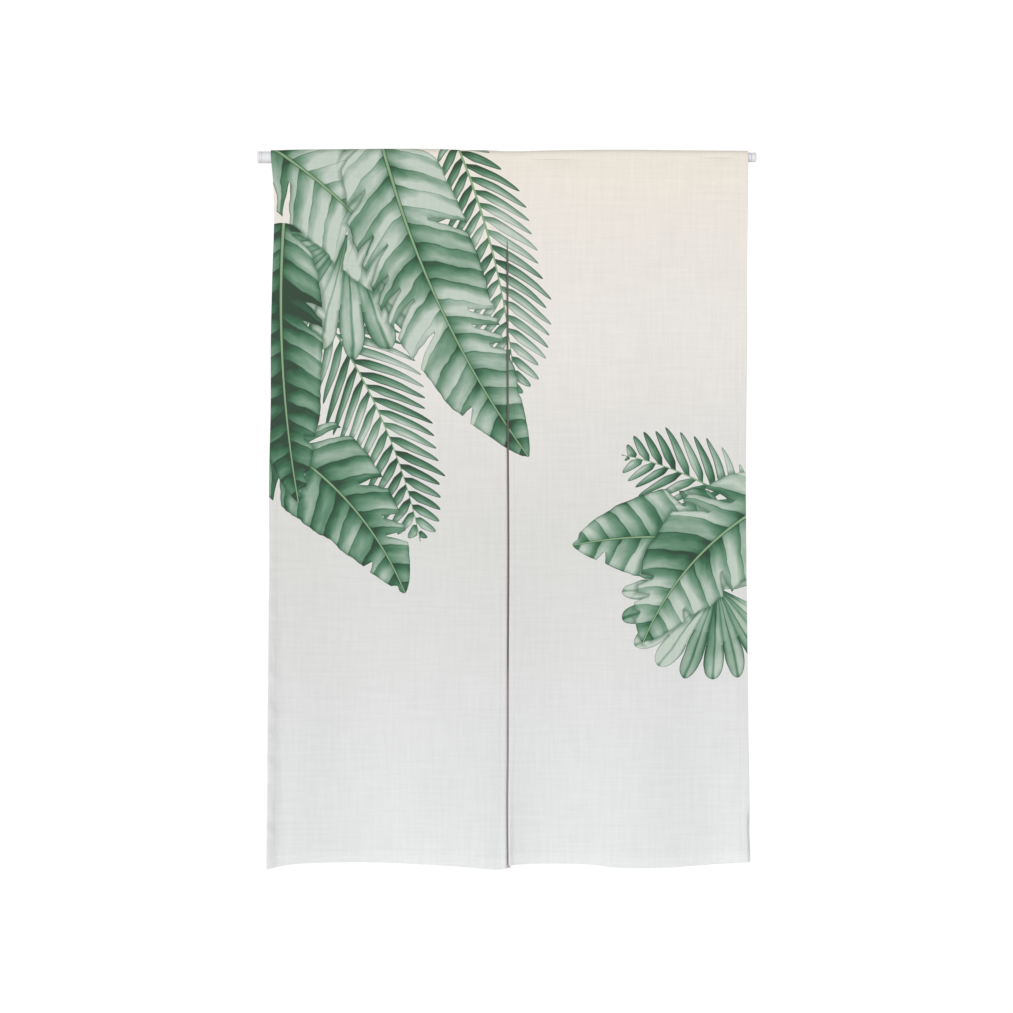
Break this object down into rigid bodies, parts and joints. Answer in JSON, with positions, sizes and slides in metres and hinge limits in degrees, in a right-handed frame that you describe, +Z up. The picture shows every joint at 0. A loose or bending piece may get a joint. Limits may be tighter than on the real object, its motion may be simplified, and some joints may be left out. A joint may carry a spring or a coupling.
{
  "type": "noren curtain on a telescopic tension rod",
  "caption": "Split door curtain of linen-look cloth with a leaf print, hung by its rod pocket on a telescopic tension rod, with a hemmed slit down the middle.",
  "frame": {"origin": "middle of the flat face at the rod's left end, on the rod's axis", "axes": "+X along the rod to its right end, +Z up; the printed front faces -Y and the cloth hangs towards -Z"},
  "size_m": [0.835, 0.0248, 1.207],
  "materials": {
    "cloth": "plain-woven linen-look cloth, slubby and matt, shaded from warm cream at the top to cool pale grey at the hem, with green leaves printed on the front",
    "outer_tube": "pale grey-white coating, satin",
    "inner_tube": "pale cool white coating, satin",
    "end_caps": "pale grey moulded plastic, matt"
  },
  "bodies": {
    "root": {"noren_cloth": "cloth", "rod_outer_tube": "outer_tube", "rod_inner_tube": "inner_tube", "rod_cap_left": "end_caps", "rod_cap_right": "end_caps"}
  },
  "joints": []
}
